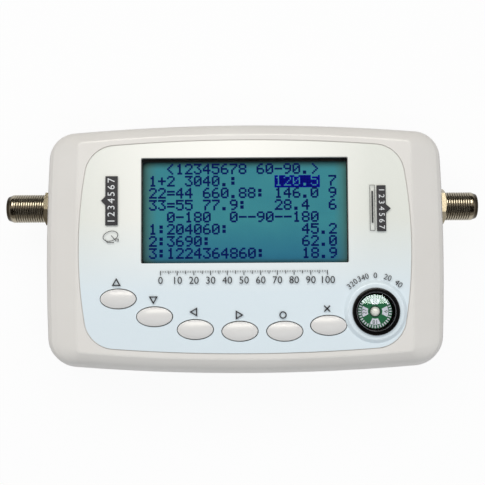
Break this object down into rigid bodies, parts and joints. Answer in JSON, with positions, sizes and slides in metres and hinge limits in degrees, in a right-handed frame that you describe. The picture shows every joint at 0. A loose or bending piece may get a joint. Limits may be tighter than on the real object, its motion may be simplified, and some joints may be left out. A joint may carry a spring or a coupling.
{
  "type": "satellite signal meter",
  "caption": "Flat white handheld satellite signal meter: two-part case with display opening, curved row of oval buttons, set-in compass and a threaded F connector at each end.",
  "frame": {"origin": "centre of the flat back of the rear cover", "axes": "+X along the long side towards the right-hand connector as the face is read, +Y towards the top edge of the face, +Z out of the face"},
  "size_m": [0.1596, 0.0844, 0.0336],
  "materials": {
    "case_white": "satin, fine moulded texture",
    "button_white": "satin",
    "label_silver": "satin silver-white film with a fine metallic grain",
    "window_clear": "clear, polished",
    "bezel_black": "black, matt",
    "display_teal": "polariser film",
    "light_guide": "milky",
    "board_green": "solder mask",
    "tinned_steel": "tinned",
    "screw_steel": "zinc plated",
    "moulding_black": "moulded",
    "ferrite_grey": "sintered",
    "sleeve_dark": "shrunk sleeve",
    "compass_black": "gloss",
    "card_green": "printed card",
    "cap_silver": "polished",
    "nickel_plate": "nickel plated, turned",
    "insulator_white": "natural",
    "contact_brass": "plated"
  },
  "bodies": {
    "case": {"front_cover": "case_white", "rear_cover": "case_white", "front_label": "label_silver", "display_window": "window_clear", "display_bezel": "bezel_black", "display_glass": "display_teal", "display_backlight": "light_guide", "display_board": "board_green", "display_header": "moulding_black", "main_board": "board_green", "tuner_can": "tinned_steel", "tuner_lid": "tinned_steel", "main_chip": "moulding_black", "crystal": "tinned_steel", "coil": "ferrite_grey", "capacitors": "sleeve_dark", "buzzer": "moulding_black", "regulator": "moulding_black", "compass_housing": "compass_black", "compass_lens": "window_clear", "compass_pivot": "tinned_steel", "case_screws": "screw_steel", "board_screws": "screw_steel", "display_screws": "screw_steel", "switch_bodies": "moulding_black", "switch_plates": "tinned_steel", "connector_barrel_left": "nickel_plate", "connector_nut_left": "nickel_plate", "connector_insulator_left": "insulator_white", "connector_contact_left": "contact_brass", "lock_washer_left": "nickel_plate", "connector_barrel_right": "nickel_plate", "connector_nut_right": "nickel_plate", "connector_insulator_right": "insulator_white", "connector_contact_right": "contact_brass", "lock_washer_right": "nickel_plate"},
    "button_up": {"button_up": "button_white", "stem_up": "moulding_black"},
    "button_down": {"button_down": "button_white", "stem_down": "moulding_black"},
    "button_left": {"button_left": "button_white", "stem_left": "moulding_black"},
    "button_right": {"button_right": "button_white", "stem_right": "moulding_black"},
    "button_ok": {"button_ok": "button_white", "stem_ok": "moulding_black"},
    "button_exit": {"button_exit": "button_white", "stem_exit": "moulding_black"},
    "compass_rotor": {"compass_card": "card_green", "compass_magnet": "ferrite_grey", "compass_cap": "cap_silver"}
  },
  "joints": [
    {"name": "press_up", "type": "slide", "parent": "case", "child": "button_up", "axis": [0, 0, -1], "range_m": [0, 0.0004], "stiffness_N_per_m": 2500},
    {"name": "press_down", "type": "slide", "parent": "case", "child": "button_down", "axis": [0, 0, -1], "range_m": [0, 0.0004], "stiffness_N_per_m": 2500},
    {"name": "press_left", "type": "slide", "parent": "case", "child": "button_left", "axis": [0, 0, -1], "range_m": [0, 0.0004], "stiffness_N_per_m": 2500},
    {"name": "press_right", "type": "slide", "parent": "case", "child": "button_right", "axis": [0, 0, -1], "range_m": [0, 0.0004], "stiffness_N_per_m": 2500},
    {"name": "press_ok", "type": "slide", "parent": "case", "child": "button_ok", "axis": [0, 0, -1], "range_m": [0, 0.0004], "stiffness_N_per_m": 2500},
    {"name": "press_exit", "type": "slide", "parent": "case", "child": "button_exit", "axis": [0, 0, -1], "range_m": [0, 0.0004], "stiffness_N_per_m": 2500},
    {"name": "card_turn", "type": "hinge", "parent": "case", "child": "compass_rotor", "pos_m": [0.04198, -0.02134, 0.0296], "axis": [0, 0, 1], "continuous": true}
  ]
}
